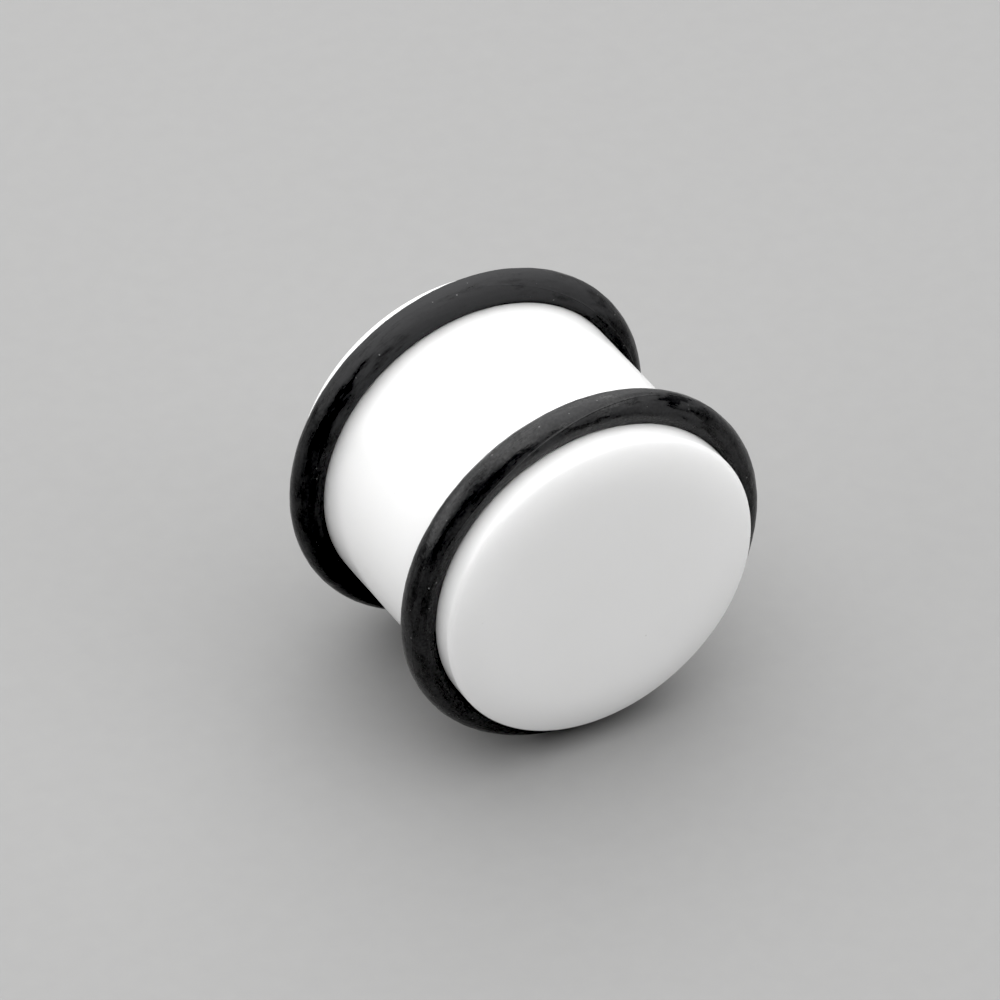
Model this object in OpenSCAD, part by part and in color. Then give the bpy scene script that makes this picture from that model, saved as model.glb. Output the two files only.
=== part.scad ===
// Ear gauge plug: a solid acrylic rod with rounded ends and two rubber O-rings, lying on its rings.
// Millimetres. The origin is on the surface that it lies on, under the middle of its length.
// +Z is up, the plug's axis runs along Y, and the front end faces -Y.

/* [Plug] */
// Diameter of the acrylic rod, which is the gauge that the ear is stretched to
gauge_d = 16; // [13:0.5:26]
// Length of the plug over both ends
plug_l = 14.95; // [14:0.05:20]

/* [Rounded ends] */
// Width of the rounded rim around the flat middle of each end
rim_w = 2.2; // [1:0.1:3]
// How far the rim falls from the flat middle to the side of the rod
rim_drop = 0.6; // [0.4:0.05:0.8]
// Radius of the small arc where the rim meets the side of the rod
edge_r = 0.3; // [0.1:0.05:0.35]

/* [O-rings] */
// Distance between the middles of the two O-rings
ring_span = 10.35; // [8:0.05:11]
// Thickness of the rubber cord
cord_d = 1.65; // [1.4:0.05:2]
// Depth of the groove that each O-ring sits in
groove_depth = 0.36; // [0.15:0.01:0.5]
// Clearance between an O-ring and its groove
ring_gap = 0.02; // [0.01:0.01:0.05]
// How far the rubber is pressed flat where the plug lies on it
rest_flat = 0.02; // [0.01:0.01:0.05]

/* [Hidden] */
$fn = 96;

rod_r = gauge_d / 2;
half_l = plug_l / 2;
cord_r = cord_d / 2;

// The groove is an arc a little larger than the cord, and the cord lies in the middle of it
groove_r = cord_r + ring_gap;
ring_r = rod_r - groove_depth + groove_r;

// The plug lies on the outside of its rings
axis_z = ring_r + cord_r - rest_flat;

// Each rim is two arcs that meet smoothly: a wide one from the flat middle and the small edge arc
flat_r = rod_r - rim_w;
shoulder_r = (rim_w * (rim_w - 2 * edge_r) + rim_drop * rim_drop) / (2 * (rim_drop - edge_r));
shoulder_angle = asin((rim_w - edge_r) / (shoulder_r - edge_r));
shoulder_centre = [flat_r, half_l - shoulder_r];
edge_centre = [rod_r - edge_r, half_l - rim_drop];
rim_joint = edge_centre + edge_r * [sin(shoulder_angle), cos(shoulder_angle)];

// A point seen from a centre, at an angle that is 0 along the plug's axis and 90 straight outward
function around(centre, r, angle) = centre + r * [sin(angle), cos(angle)];

// The part of a disc between two angles, no more than a quarter turn
module sector(centre, r, from_angle, to_angle) {
    intersection() {
        translate(centre) circle(r = r);
        polygon([
            centre,
            around(centre, 2 * r, from_angle),
            around(centre, 2 * r, to_angle)
        ]);
    }
}

// Fills the two arcs of one rim, outside the straight lines of the rod's outline
module rim_arcs() {
    sector(shoulder_centre, shoulder_r, 0, shoulder_angle);
    sector(edge_centre, edge_r, shoulder_angle, 90);
}

// Half of the rod's lengthwise section, from its axis outward
module rod_section() {
    polygon([
        [0, -half_l],
        [flat_r, -half_l],
        [rim_joint.x, -rim_joint.y],
        [rod_r, -edge_centre.y],
        [rod_r, edge_centre.y],
        rim_joint,
        [flat_r, half_l],
        [0, half_l]
    ]);
    rim_arcs();
    mirror([0, 1]) rim_arcs();
}

// Turns a shape made along Z so that its top faces the front, and lifts it to the plug's axis
module laid_on_its_rings() {
    translate([0, 0, axis_z]) rotate([90, 0, 0]) children();
}

module plug_body() {
    color("white")
    laid_on_its_rings()
    rotate_extrude()
    difference() {
        rod_section();
        for (side = [-1, 1])
            translate([ring_r, side * ring_span / 2]) circle(r = groove_r);
    }
}

// What lies under the surface that the plug rests on, as deep as the cord is thick
module below_the_surface() {
    translate([-rod_r, -plug_l, -cord_d]) cube([gauge_d, 2 * plug_l, cord_d]);
}

// One O-ring at a distance along the axis, positive towards the front
module o_ring(place) {
    color([0.07, 0.07, 0.075])
    difference() {
        laid_on_its_rings()
        translate([0, 0, place])
        rotate_extrude()
        translate([ring_r, 0]) circle(d = cord_d);
        below_the_surface();
    }
}

module front_o_ring() {
    o_ring(ring_span / 2);
}

module back_o_ring() {
    o_ring(-ring_span / 2);
}

plug_body();
front_o_ring();
back_o_ring();
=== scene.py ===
import math

import bpy
import numpy as np
from mathutils import Matrix, Vector, noise


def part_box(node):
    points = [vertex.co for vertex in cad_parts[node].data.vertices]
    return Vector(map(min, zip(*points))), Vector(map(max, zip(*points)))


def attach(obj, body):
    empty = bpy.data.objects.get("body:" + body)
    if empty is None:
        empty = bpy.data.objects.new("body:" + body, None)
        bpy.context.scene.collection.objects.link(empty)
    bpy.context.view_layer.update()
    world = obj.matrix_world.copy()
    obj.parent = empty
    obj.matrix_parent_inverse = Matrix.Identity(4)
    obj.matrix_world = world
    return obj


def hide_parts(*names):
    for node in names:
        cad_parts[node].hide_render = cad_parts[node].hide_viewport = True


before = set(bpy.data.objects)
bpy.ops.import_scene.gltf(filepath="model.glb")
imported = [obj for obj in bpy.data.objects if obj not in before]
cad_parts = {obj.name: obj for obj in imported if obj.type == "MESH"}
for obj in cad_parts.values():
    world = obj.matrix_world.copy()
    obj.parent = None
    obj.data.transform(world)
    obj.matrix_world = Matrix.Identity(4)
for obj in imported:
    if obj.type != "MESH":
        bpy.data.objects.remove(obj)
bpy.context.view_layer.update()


# The camera stands in front of the plug and to its left, and looks down on it through a long lens.
# The pixel is where the middle of the plug falls in the photograph's frame, so the camera stands a
# little to one side of it instead of turning.
plug_low, plug_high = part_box("plug_body")
plug_middle = (plug_low + plug_high) / 2

CAMERA_ELEVATION = math.radians(38.95)
CAMERA_TURN = math.radians(30.16)
CAMERA_DISTANCE = 0.360
LENS_MM = 281.9
SENSOR_MM = 36.0
FRAME_PIXELS = 1000
FRAME_MIDDLE = (500.0, 500.0)
PLUG_MIDDLE_PIXEL = (523.2, 501.65)
NEAREST_SEEN, FURTHEST_SEEN = 0.01, 10.0

ahead = Vector((
    math.sin(CAMERA_TURN) * math.cos(CAMERA_ELEVATION),
    math.cos(CAMERA_TURN) * math.cos(CAMERA_ELEVATION),
    -math.sin(CAMERA_ELEVATION),
))
rightward = Vector((math.cos(CAMERA_TURN), -math.sin(CAMERA_TURN), 0.0))
upward = rightward.cross(ahead)
pixel_size = CAMERA_DISTANCE * SENSOR_MM / LENS_MM / FRAME_PIXELS
pixels_right = PLUG_MIDDLE_PIXEL[0] - FRAME_MIDDLE[0]
pixels_down = PLUG_MIDDLE_PIXEL[1] - FRAME_MIDDLE[1]

camera_data = bpy.data.cameras.new("camera")
camera_data.lens = LENS_MM
camera_data.sensor_width = SENSOR_MM
camera_data.clip_start = NEAREST_SEEN
camera_data.clip_end = FURTHEST_SEEN
camera = bpy.data.objects.new("camera", camera_data)
bpy.context.collection.objects.link(camera)
camera_place = plug_middle - ahead * CAMERA_DISTANCE
camera_place += (upward * pixels_down - rightward * pixels_right) * pixel_size
axes = Matrix((rightward, upward, -ahead)).transposed()
camera.matrix_world = Matrix.Translation(camera_place) @ axes.to_4x4()
bpy.context.scene.camera = camera


# The studio is a sheet of pale matt card under soft lights that stand close round the plug: a
# wide box overhead, a long one behind, a panel on the left and a dim one on the right. A weak even
# glow fills the rest.
CARD_SIDE = 3.0
CARD_COLOUR = (0.30, 0.299, 0.297)
CARD_ROUGHNESS = 0.7
CARD_SPECULAR = 0.3
PULP_SIZE = 1 / 900
PULP_DETAIL = 4.0
PULP_DARKEST, PULP_PALEST = 0.97, 1.03
SOFT_LIGHTS = {
    "box_overhead": {
        "bearing": 90, "elevation": 83, "distance": 0.205,
        "width": 0.42, "height": 0.38, "radiance": 2.1,
    },
    "box_back": {
        "bearing": 5, "elevation": 28, "distance": 0.25,
        "width": 0.58, "height": 0.20, "radiance": 1.15,
    },
    "panel_left": {
        "bearing": -76, "elevation": 24, "distance": 0.22,
        "width": 0.25, "height": 0.135, "radiance": 1.75,
    },
    "panel_right": {
        "bearing": 150, "elevation": 25, "distance": 0.25,
        "width": 0.14, "height": 0.19, "radiance": 1.15,
    },
}
GLOW_COLOUR = (0.83, 0.83, 0.84, 1.0)
GLOW_STRENGTH = 0.34
BLACK_LEVEL = 0.022


def feed(tree, socket, source):
    """Joins a socket to another node's output, or sets it to a constant."""
    if isinstance(source, bpy.types.NodeSocket):
        tree.links.new(source, socket)
    else:
        socket.default_value = source


def add_node(tree, kind, inputs=None, **options):
    """A new shader node. Its inputs are set or joined by name, or by number where names repeat."""
    node = tree.nodes.new(kind)
    for name, value in options.items():
        setattr(node, name, value)
    for name, source in (inputs or {}).items():
        feed(tree, node.inputs[name], source)
    return node


def ranged(tree, value, source, target, **options):
    """The value, taken from the source range to the target range and held inside it."""
    node = add_node(tree, "ShaderNodeMapRange", {
        "Value": value, "From Min": source[0], "From Max": source[1],
        "To Min": target[0], "To Max": target[1],
    }, **options)
    return node.outputs["Result"]


def scaled(tree, vector, factor):
    """The vector times a number."""
    node = add_node(tree, "ShaderNodeVectorMath", {0: vector, "Scale": factor}, operation="SCALE")
    return node.outputs["Vector"]


def place_on(tree):
    """The place in the object's own coordinates, in metres."""
    return add_node(tree, "ShaderNodeTexCoord").outputs["Object"]


def plain_noise(tree, size, detail):
    """Noise with marks of about one size in every direction."""
    inputs = {"Vector": place_on(tree), "Scale": 1 / size, "Detail": detail}
    return add_node(tree, "ShaderNodeTexNoise", inputs).outputs["Fac"]


def new_finish(name):
    """A material with one Principled shader, and its node tree."""
    material = bpy.data.materials.new(name)
    material.use_nodes = True
    return material, material.node_tree


def set_looks(tree, looks):
    """Gives the shader each of its looks, by the name of the socket."""
    shader = tree.nodes["Principled BSDF"]
    for name, source in looks.items():
        feed(tree, shader.inputs[name], source)


def card_finish():
    """Matt card with the faint unevenness of its pulp."""
    material, tree = new_finish("pale_card")
    pulp = plain_noise(tree, PULP_SIZE, PULP_DETAIL)
    tone = ranged(tree, pulp, (0.0, 1.0), (PULP_DARKEST, PULP_PALEST))
    set_looks(tree, {
        "Base Color": scaled(tree, CARD_COLOUR, tone),
        "Roughness": CARD_ROUGHNESS,
        "Specular IOR Level": CARD_SPECULAR,
    })
    return material


def soft_light(name, bearing, elevation, distance, width, height, radiance):
    """A rectangular soft light that faces the plug. Its bearing is in degrees from +Y to +X."""
    turn, tilt = math.radians(bearing), math.radians(elevation)
    towards = Vector((
        math.sin(turn) * math.cos(tilt), math.cos(turn) * math.cos(tilt), math.sin(tilt)
    ))
    data = bpy.data.lights.new(name, "AREA")
    data.shape = "RECTANGLE"
    data.size = width
    data.size_y = height
    data.energy = radiance * math.pi * width * height
    light = bpy.data.objects.new(name, data)
    light.location = plug_middle + towards * distance
    light.rotation_euler = towards.to_track_quat("Z", "Y").to_euler()
    light.visible_camera = False
    bpy.context.collection.objects.link(light)


half_card = CARD_SIDE / 2
card_mesh = bpy.data.meshes.new("card")
card_mesh.from_pydata(
    [(-half_card, -half_card, 0), (half_card, -half_card, 0),
     (half_card, half_card, 0), (-half_card, half_card, 0)],
    [],
    [(0, 1, 2, 3)],
)
card_mesh.materials.append(card_finish())
card = bpy.data.objects.new("card", card_mesh)
bpy.context.collection.objects.link(card)

for light_name, light_facts in SOFT_LIGHTS.items():
    soft_light(light_name, **light_facts)

world = bpy.data.worlds.new("glow")
world.use_nodes = True
world.node_tree.nodes["Background"].inputs["Color"].default_value = GLOW_COLOUR
world.node_tree.nodes["Background"].inputs["Strength"].default_value = GLOW_STRENGTH
bpy.context.scene.world = world

# The deepest shadows go to black, as in the photograph
tones = bpy.context.scene.view_settings
tones.view_transform = "Standard"
tones.use_curve_mapping = True
tones.curve_mapping.black_level = (BLACK_LEVEL, BLACK_LEVEL, BLACK_LEVEL)
tones.curve_mapping.update()


# The plug is one piece of solid white acrylic, turned from rod. Its side is straight, with a
# shallow round groove near each end for an O-ring, and both ends are buffed to a soft rim round a
# flat middle. Light sinks a little way into it, and its polish is uneven, with a few specks.
RIM_WIDTH = 0.0022
RIM_DROP = 0.0006
EDGE_RADIUS = 0.0003
RIM_BLEND = 0.0008
GROOVE_DEPTH = 0.00036
GROOVE_GAP = 0.00002
GROOVE_LIP_RADIUS = 0.00008
CORD_RADIUS = 0.000825
RING_SPAN = 0.01035

rod_radius = (plug_high.x - plug_low.x) / 2
half_length = (plug_high.y - plug_low.y) / 2
groove_radius = CORD_RADIUS + GROOVE_GAP
ring_radius = rod_radius - GROOVE_DEPTH + groove_radius

PLUG_STEPS_ROUND = 360
FLAT_STEPS = 24
SHOULDER_STEPS = 36
EDGE_STEPS = 14
SIDE_STEPS = 3
GROOVE_STEPS = 14
LIP_STEPS = 5
HALF_BARREL_STEPS = 13
BUFFING_WAVE = 0.0028
BUFFING_HEIGHT = 0.0000012
SHARP_EDGE = math.radians(35)

ACRYLIC_PALE = (0.885, 0.885, 0.882, 1.0)
ACRYLIC_DULL = (0.855, 0.855, 0.850, 1.0)
ACRYLIC_IOR = 1.49
SCATTER_DEPTH = 0.0020
CLOUD_SIZE = 0.004
CLOUD_DETAIL = 3.0
SPECK_COLOUR = (0.62, 0.61, 0.59, 1.0)
SPECK_SPACING = 0.0021
SPECK_RADIUS = 0.00006
SMEAR_SIZE = 0.0024
SMEAR_DETAIL = 5.0
SMEAR_FROM, SMEAR_TO = 0.3, 0.7
BEST_POLISH, WORST_POLISH = 0.12, 0.22
HAIRLINE_SIZE = 0.0005
HAIRLINE_DETAIL = 2.0
HAIRLINE_DEPTH = 0.0000004


def arc(centre, radius, start, end, steps):
    """Points on an arc, from angles in degrees: 0 is along the plug's axis, 90 straight out."""
    turns = np.radians(np.linspace(start, end, steps + 1))
    return [(centre[0] + radius * math.sin(a), centre[1] + radius * math.cos(a)) for a in turns]


def straight(start, end, steps):
    """Points on a straight line."""
    return [tuple(p) for p in np.linspace(start, end, steps + 1)]


def rim_outline():
    """The outline from the middle of an end, over its rim, to the side of the rod."""
    flat_radius = rod_radius - RIM_WIDTH
    shoulder_width = RIM_WIDTH - EDGE_RADIUS
    shoulder_radius = RIM_WIDTH * (RIM_WIDTH - 2 * EDGE_RADIUS) + RIM_DROP ** 2
    shoulder_radius /= 2 * (RIM_DROP - EDGE_RADIUS)
    shoulder_angle = math.asin(shoulder_width / (shoulder_radius - EDGE_RADIUS))
    edge_centre = (rod_radius - EDGE_RADIUS, half_length - RIM_DROP)
    joint = edge_centre[0] + EDGE_RADIUS * math.sin(shoulder_angle)
    shoulder_reach = joint - flat_radius

    def on_the_end(radius):
        """A point on the end, where buffing has blended the flat middle into the shoulder."""
        past = radius - joint + shoulder_reach - RIM_BLEND ** 2 / (4 * shoulder_reach)
        reach = (past + math.hypot(past, RIM_BLEND)) / 2
        return radius, half_length - shoulder_radius + math.sqrt(shoulder_radius ** 2 - reach ** 2)

    blend_start = flat_radius - 2 * RIM_BLEND
    radii = list(np.linspace(0.0, blend_start, FLAT_STEPS, endpoint=False))
    radii += list(np.linspace(blend_start, joint, SHOULDER_STEPS + 1))
    points = [on_the_end(radius) for radius in radii]
    points += arc(edge_centre, EDGE_RADIUS, math.degrees(shoulder_angle), 90, EDGE_STEPS)[1:]
    return points


def groove_outline():
    """The outline of the groove, with its two lips rounded where it meets the side of the rod."""
    middle = RING_SPAN / 2
    lip_out = rod_radius - GROOVE_LIP_RADIUS
    lip_reach = groove_radius + GROOVE_LIP_RADIUS
    joint = math.degrees(math.asin((ring_radius - lip_out) / lip_reach))
    lip_along = lip_reach * math.cos(math.radians(joint))
    points = arc((lip_out, middle + lip_along), GROOVE_LIP_RADIUS, 90, 180 - joint, LIP_STEPS)
    points += arc((ring_radius, middle), groove_radius, -joint, joint - 180, GROOVE_STEPS)[1:]
    points += arc((lip_out, middle - lip_along), GROOVE_LIP_RADIUS, joint, 90, LIP_STEPS)[1:]
    return points


def end_to_middle_outline():
    """Half of the plug's outline from the end's centre: distance from the axis, and along it."""
    rim, groove = rim_outline(), groove_outline()
    points = rim + straight(rim[-1], groove[0], SIDE_STEPS)[1:]
    points += groove[1:]
    points += straight(groove[-1], (rod_radius, 0.0), HALF_BARREL_STEPS)[1:]
    return points


def turned_mesh(name, outline, steps_round):
    """A closed mesh turned round the plug's axis. The outline starts and ends on the axis."""
    turns = np.linspace(0, 2 * math.pi, steps_round, endpoint=False)
    vertices = [(0.0, -outline[0][1], plug_middle.z)]
    for radius, along in outline[1:-1]:
        vertices += [
            (radius * math.sin(a), -along, plug_middle.z + radius * math.cos(a)) for a in turns
        ]
    vertices.append((0.0, -outline[-1][1], plug_middle.z))
    last = len(vertices) - 1
    loops = len(outline) - 2
    faces = []
    for step in range(steps_round):
        after = (step + 1) % steps_round
        faces.append((0, 1 + after, 1 + step))
        for loop in range(loops - 1):
            here, there = 1 + loop * steps_round, 1 + (loop + 1) * steps_round
            faces.append((here + after, there + after, there + step, here + step))
        edge = 1 + (loops - 1) * steps_round
        faces.append((edge + after, last, edge + step))
    mesh = bpy.data.meshes.new(name)
    mesh.from_pydata(vertices, [], faces)
    return mesh


def buff(mesh):
    """Takes each point in by a micron or so, as a buffing wheel leaves the surface."""
    normals = [normal.vector.copy() for normal in mesh.vertex_normals]
    for vertex, normal in zip(mesh.vertices, normals):
        depth = (1 + noise.noise(vertex.co / BUFFING_WAVE)) * BUFFING_HEIGHT
        vertex.co = vertex.co - normal * depth


def finish_smooth(mesh):
    """Smooth shading, apart from the true corners."""
    mesh.polygons.foreach_set("use_smooth", [True] * len(mesh.polygons))
    mesh.set_sharp_from_angle(angle=SHARP_EDGE)


def number_step(tree, operation, *values):
    """One step of arithmetic."""
    node = add_node(tree, "ShaderNodeMath", dict(enumerate(values)), operation=operation)
    return node.outputs["Value"]


def mixed(tree, kind, share, first, second):
    """The first colour or number where the share is 0, and the second where it is 1."""
    inputs = {"Factor": share, "A": first, "B": second}
    return add_node(tree, "ShaderNodeMix", inputs, data_type=kind).outputs["Result"]


def relief(tree, height, depth, under=None):
    """A bump from a height between 0 and 1, laid over another bump where one is given."""
    inputs = {"Height": height, "Strength": 1.0, "Distance": depth}
    if under is not None:
        inputs["Normal"] = under
    return add_node(tree, "ShaderNodeBump", inputs).outputs["Normal"]


def specks(tree):
    """How much of a speck lies at a place: 1 at its middle, fading to 0 at its edge."""
    inputs = {"Vector": place_on(tree), "Scale": 1 / SPECK_SPACING}
    cells = add_node(tree, "ShaderNodeTexVoronoi", inputs)
    edge = SPECK_RADIUS / SPECK_SPACING
    return ranged(tree, cells.outputs["Distance"], (0.0, edge), (1.0, 0.0))


def acrylic_finish():
    """Polished opaque white acrylic, faintly clouded, with smears in its polish and hairlines."""
    material, tree = new_finish("white_acrylic")
    cloud = plain_noise(tree, CLOUD_SIZE, CLOUD_DETAIL)
    smear = plain_noise(tree, SMEAR_SIZE, SMEAR_DETAIL)
    hairlines = plain_noise(tree, HAIRLINE_SIZE, HAIRLINE_DETAIL)
    speck = specks(tree)
    clouded = mixed(tree, "RGBA", cloud, ACRYLIC_DULL, ACRYLIC_PALE)
    set_looks(tree, {
        "Base Color": mixed(tree, "RGBA", speck, clouded, SPECK_COLOUR),
        "Roughness": ranged(tree, smear, (SMEAR_FROM, SMEAR_TO), (BEST_POLISH, WORST_POLISH)),
        "Normal": relief(tree, hairlines, HAIRLINE_DEPTH),
        "IOR": ACRYLIC_IOR,
        "Subsurface Weight": number_step(tree, "SUBTRACT", 1.0, speck),
        "Subsurface Radius": (1.0, 1.0, 1.0),
        "Subsurface Scale": SCATTER_DEPTH,
    })
    return material


front_half = end_to_middle_outline()
back_half = [(radius, -along) for radius, along in reversed(front_half[:-1])]
plug_mesh = turned_mesh("plug_body_turned", front_half + back_half, PLUG_STEPS_ROUND)
buff(plug_mesh)
finish_smooth(plug_mesh)
plug_mesh.materials.append(acrylic_finish())
plug = bpy.data.objects.new("plug_body_turned", plug_mesh)
bpy.context.collection.objects.link(plug)
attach(plug, "root")
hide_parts("plug_body")


# Each O-ring is a loop of round cord moulded in black rubber and stretched over the end into its
# groove. The mould leaves a fine line on opposite sides of the cord, which winds round it where
# the ring was rolled on. The skin is lumpy, scuffed, bloomed and dusty. Round the top of each ring
# the skin is painted greyer and matt: painted light, where the overhead light falls on it.
# The last four facts of each ring place its painted light: the middle of the patch on the ring,
# where it is full, where it ends, and how strong it is.
RINGS = {
    "front_o_ring": {
        "seed": 11, "line_middle": 44, "line_swing": -38, "line_start": 2, "line_freshest": -15,
        "specular": 0.43, "painted_top_middle": 12, "painted_top_from": 8, "painted_top_to": 32, "painted_top_strength": 0.4,
    },
    "back_o_ring": {
        "seed": 23, "line_middle": 47, "line_swing": 42, "line_start": 10, "line_freshest": 55,
        "specular": 0.27, "painted_top_middle": 0, "painted_top_from": 26, "painted_top_to": 60, "painted_top_strength": 1.0,
    },
}
RING_STEPS_ROUND = 800
CORD_STEP_DEGREES = 4
LINE_STEP_DEGREES = 0.55
LINE_STEPS = 8
LINE_CLEARANCE_DEGREES = 1
LINE_HEIGHT = 0.000024
LINE_WIDTH = 0.000026
LINE_WORN = 0.25
LINE_FRESH_SPREAD = math.radians(30)
LUMP_LENGTH = 0.0008
LUMP_WIDTH = 0.00045
LUMP_HEIGHT = 0.000011
LUMP_FADING = 0.6
LUMP_LACUNARITY = 2.0
LUMP_OCTAVES = 4

RUBBER_CLEAN = (0.0060, 0.0060, 0.0062, 1.0)
RUBBER_BLOOMED = (0.021, 0.021, 0.0215, 1.0)
# The greyer colour painted on each ring's top as painted light; its shine, roughness and streaks
# follow below.
RUBBER_PAINTED_TOP = (0.054, 0.054, 0.055, 1.0)
RUBBER_IOR = 1.52
PAINTED_TOP_SPECULAR = 0.03
PAINTED_TOP_ROUGHNESS = 0.60
PAINTED_TOP_STREAKS = 1.6
BLOOM_LENGTH, BLOOM_WIDTH = 0.0016, 0.00045
BLOOM_DETAIL = 5.0
MEAN_BLOOM = 0.5
BLOOM_FROM, BLOOM_TO = 0.42, 0.61
SCUFF_LENGTH, SCUFF_WIDTH = 0.0012, 0.00026
SCUFF_DETAIL = 5.0
SCUFF_DEPTH = 0.000022
PORE_SIZE = 0.00013
PORE_DETAIL = 3.0
PORE_DEPTH = 0.000009
LEAST_GRAIN, MOST_GRAIN = 0.35, 0.65
GRAIN_DULLEST, GRAIN_BRIGHTEST = 0.80, 1.20
RAGGEDNESS = 0.62
SMOOTHEST_RUBBER, ROUGHEST_RUBBER = 0.16, 0.42
LEAST_WEAR, MOST_WEAR = 0.75, 1.25
DUST_COLOUR = (0.15, 0.15, 0.15, 1.0)
DUST_SPACING = 0.00038
DUST_RADIUS = 0.000042
SHARE_WITHOUT_DUST = 0.5


def mould_line(turn, ring):
    """Where the mould line lies round the cord, in radians from its outer side to its front."""
    swing = np.sin(2 * (turn - math.radians(ring["line_start"])))
    return np.radians(ring["line_middle"] + ring["line_swing"] * swing)


def line_height(turn, ring):
    """How high the mould line stands: its full height in one place, and worn down away from it."""
    away = (turn - math.radians(ring["line_freshest"]) + math.pi) % (2 * math.pi) - math.pi
    return LINE_HEIGHT * (LINE_WORN + (1 - LINE_WORN) * np.exp(-(away / LINE_FRESH_SPREAD) ** 2))


def cord_offsets():
    """Angles round the cord from its first mould line, close together at both mould lines."""
    coarse = np.arange(0, 360, CORD_STEP_DEGREES, dtype=float)
    fine = np.arange(-LINE_STEPS, LINE_STEPS + 1) * LINE_STEP_DEGREES
    near = LINE_STEPS * LINE_STEP_DEGREES
    clear = coarse[np.abs((coarse + 90) % 180 - 90) > near + LINE_CLEARANCE_DEGREES]
    return np.radians(np.sort(np.concatenate([clear, fine % 360, fine + 180])))


def lump_height(turn, around, seed):
    """How far one point of the skin stands up. The lumps are longer round the ring than across."""
    along = ring_radius / LUMP_LENGTH
    across = ((around + math.pi) % (2 * math.pi) - math.pi) * CORD_RADIUS / LUMP_WIDTH
    place = Vector((along * math.sin(turn), across + seed, along * math.cos(turn)))
    return LUMP_HEIGHT * noise.fractal(place, LUMP_FADING, LUMP_LACUNARITY, LUMP_OCTAVES)


def skin_points(name, ring, offsets):
    """The points of one O-ring in the place of its solid, pressed flat where it lies."""
    low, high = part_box(name)
    middle = (low.y + high.y) / 2
    turns = np.linspace(0, 2 * math.pi, RING_STEPS_ROUND, endpoint=False)
    turn, offset = np.meshgrid(turns, offsets, indexing="ij")
    around = mould_line(turn, ring) + offset
    from_line = np.abs((offset + math.pi / 2) % math.pi - math.pi / 2) * CORD_RADIUS
    lumps = [lump_height(t, a, ring["seed"]) for t, a in zip(turn.flat, around.flat)]
    cord = CORD_RADIUS - LUMP_HEIGHT + np.reshape(lumps, turn.shape)
    cord += line_height(turn, ring) * np.exp(-(from_line / LINE_WIDTH) ** 2)
    in_the_groove = np.cos(around) < 0
    cord[in_the_groove] = np.minimum(cord[in_the_groove], CORD_RADIUS)
    out = ring_radius + cord * np.cos(around)
    return np.stack([
        out * np.sin(turn),
        middle - cord * np.sin(around),
        np.maximum(plug_middle.z + out * np.cos(turn), 0.0),
    ], axis=-1).reshape(-1, 3)


def moulded_ring(name, ring):
    """The mesh of one O-ring: rows of points round the cord, joined into a closed loop."""
    offsets = cord_offsets()
    count = len(offsets)
    faces = []
    for step in range(RING_STEPS_ROUND):
        here, there = step * count, (step + 1) % RING_STEPS_ROUND * count
        for place in range(count):
            after = (place + 1) % count
            faces.append((here + after, there + after, there + place, here + place))
    mesh = bpy.data.meshes.new(name + "_moulded")
    mesh.from_pydata(skin_points(name, ring, offsets).tolist(), [], faces)
    mesh.polygons.foreach_set("use_smooth", [True] * len(mesh.polygons))
    return mesh


def vector_step(tree, operation, *values, result="Vector"):
    """One step of vector arithmetic. Its result is a Vector or a Value."""
    node = add_node(tree, "ShaderNodeVectorMath", dict(enumerate(values)), operation=operation)
    return node.outputs[result]


def from_the_axis(tree):
    """The place seen from the plug's middle, its outward part, and the direction of that part."""
    from_axis = vector_step(tree, "SUBTRACT", place_on(tree), (0.0, 0.0, plug_middle.z))
    outward = vector_step(tree, "MULTIPLY", from_axis, (1.0, 0.0, 1.0))
    return from_axis, outward, vector_step(tree, "NORMALIZE", outward)


def ring_noise(tree, length, width, detail):
    """Noise that follows the ring, with marks about length long round it and width across it."""
    from_axis, outward, direction = from_the_axis(tree)
    along = scaled(tree, direction, ring_radius / length)
    reach = vector_step(tree, "LENGTH", outward, result="Value")
    across = number_step(tree, "DIVIDE", reach, width)
    lifted = add_node(tree, "ShaderNodeCombineXYZ", {"Y": across}).outputs["Vector"]
    parts = add_node(tree, "ShaderNodeSeparateXYZ", {"Vector": from_axis})
    texture = add_node(tree, "ShaderNodeTexNoise", noise_dimensions="4D", inputs={
        "Vector": vector_step(tree, "ADD", along, lifted),
        "W": number_step(tree, "DIVIDE", parts.outputs["Y"], width),
        "Scale": 1.0, "Detail": detail, "Roughness": RAGGEDNESS,
    })
    return texture.outputs["Fac"]


def dusted(tree, clean):
    """The clean colour with grains of dust. Each grain has its own size, and many have none."""
    inputs = {"Vector": place_on(tree), "Scale": 1 / DUST_SPACING}
    grains = add_node(tree, "ShaderNodeTexVoronoi", inputs)
    chance = add_node(tree, "ShaderNodeSeparateColor", {"Color": grains.outputs["Color"]})
    largest = DUST_RADIUS / DUST_SPACING
    size = ranged(tree, chance.outputs["Red"], (SHARE_WITHOUT_DUST, 1.0), (0.0, largest))
    inside = number_step(tree, "LESS_THAN", grains.outputs["Distance"], size)
    return mixed(tree, "RGBA", inside, clean, DUST_COLOUR)


def painted_top_part(tree, ring, bloom):
    """Painted light on the ring's top: most round one place, and streaky where it fades away."""
    direction = from_the_axis(tree)[2]
    painted_top_angle = math.radians(ring["painted_top_middle"])
    painted_top_way = (math.sin(painted_top_angle), 0.0, math.cos(painted_top_angle))
    nearness = vector_step(tree, "DOT_PRODUCT", direction, painted_top_way, result="Value")
    streaky = number_step(tree, "MULTIPLY_ADD", bloom, PAINTED_TOP_STREAKS, nearness)
    usual = PAINTED_TOP_STREAKS * MEAN_BLOOM
    edge = math.cos(math.radians(ring["painted_top_to"])) + usual
    core = math.cos(math.radians(ring["painted_top_from"])) + usual
    painted_top_strength = (0.0, ring["painted_top_strength"])
    return ranged(tree, streaky, (edge, core), painted_top_strength, interpolation_type="SMOOTHSTEP")


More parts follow.
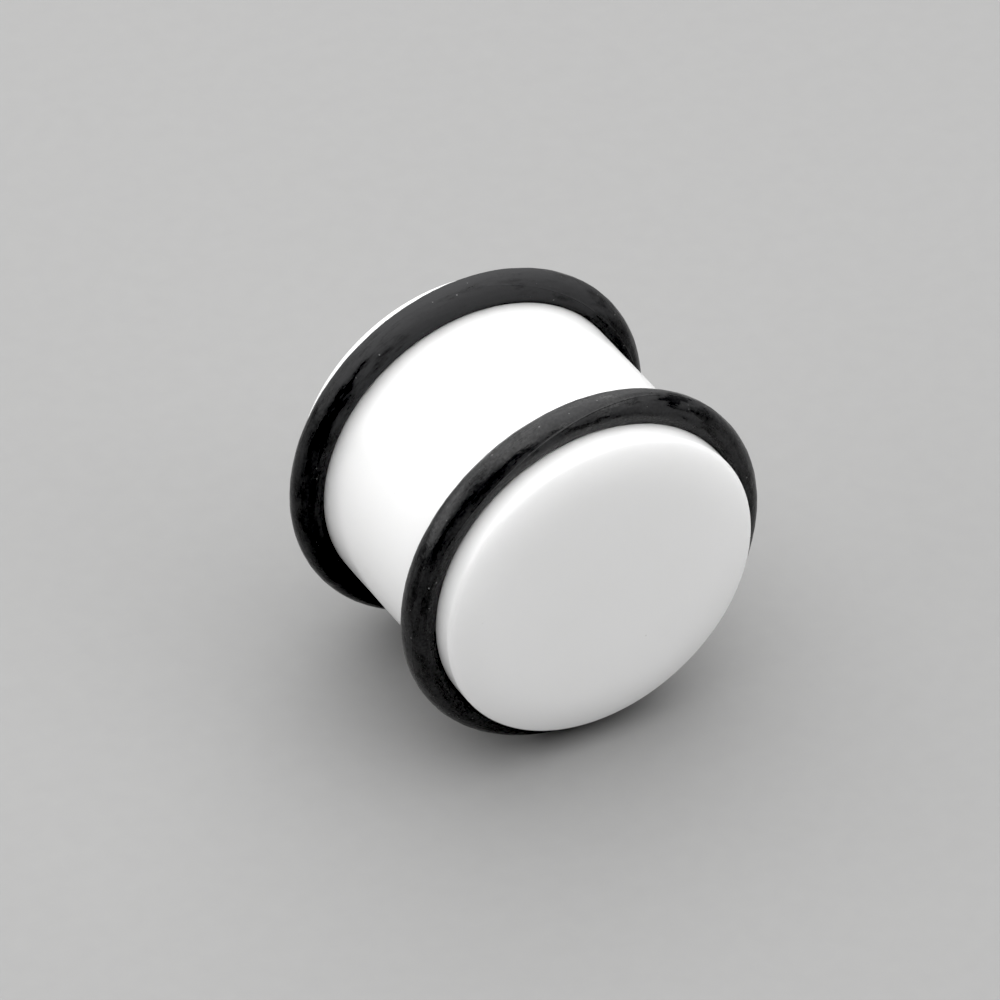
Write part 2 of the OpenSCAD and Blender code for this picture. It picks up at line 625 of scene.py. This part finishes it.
def rubber_colour(tree, bloom, painted_top):
    """Near black, greyer where it has bloomed, greyest in the painted light, with dust on top."""
    patches = ranged(tree, bloom, (BLOOM_FROM, BLOOM_TO), (0.0, 1.0))
    bloomed = mixed(tree, "RGBA", patches, RUBBER_CLEAN, RUBBER_BLOOMED)
    return dusted(tree, mixed(tree, "RGBA", painted_top, bloomed, RUBBER_PAINTED_TOP))


def rubber_roughness(tree, bloom, scuffs, painted_top):
    """Smooth where the skin is clean, rougher under bloom and scuffs, and matt in the painted
    light.
    """
    wear = number_step(tree, "ADD", bloom, scuffs)
    gloss = ranged(tree, wear, (LEAST_WEAR, MOST_WEAR), (SMOOTHEST_RUBBER, ROUGHEST_RUBBER))
    return mixed(tree, "FLOAT", painted_top, gloss, PAINTED_TOP_ROUGHNESS)


def rubber_shine(tree, ring, painted_top, grain):
    """How strongly the skin mirrors: least in the painted light, and uneven from pore to pore."""
    shine = ranged(tree, painted_top, (0.0, 1.0), (ring["specular"], PAINTED_TOP_SPECULAR))
    unevenness = ranged(tree, grain, (LEAST_GRAIN, MOST_GRAIN), (GRAIN_DULLEST, GRAIN_BRIGHTEST))
    return number_step(tree, "MULTIPLY", shine, unevenness)


def rubber_finish(name, ring):
    """Black rubber with a patchy bloom, scuffs that run with the ring, fine pores and dust."""
    material, tree = new_finish(name + "_rubber")
    bloom = ring_noise(tree, BLOOM_LENGTH, BLOOM_WIDTH, BLOOM_DETAIL)
    scuffs = ring_noise(tree, SCUFF_LENGTH, SCUFF_WIDTH, SCUFF_DETAIL)
    grain = plain_noise(tree, PORE_SIZE, PORE_DETAIL)
    # Painted light: the skin is greyer and matt round the top of the ring, where light falls on
    # it.
    painted_top = painted_top_part(tree, ring, bloom)
    set_looks(tree, {
        "Base Color": rubber_colour(tree, bloom, painted_top),
        "Roughness": rubber_roughness(tree, bloom, scuffs, painted_top),
        "Specular IOR Level": rubber_shine(tree, ring, painted_top, grain),
        "Normal": relief(tree, grain, PORE_DEPTH, under=relief(tree, scuffs, SCUFF_DEPTH)),
        "IOR": RUBBER_IOR,
    })
    return material


for ring_name, ring_facts in RINGS.items():
    ring_mesh = moulded_ring(ring_name, ring_facts)
    ring_mesh.materials.append(rubber_finish(ring_name, ring_facts))
    ring = bpy.data.objects.new(ring_name + "_moulded", ring_mesh)
    bpy.context.collection.objects.link(ring)
    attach(ring, "root")
    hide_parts(ring_name)
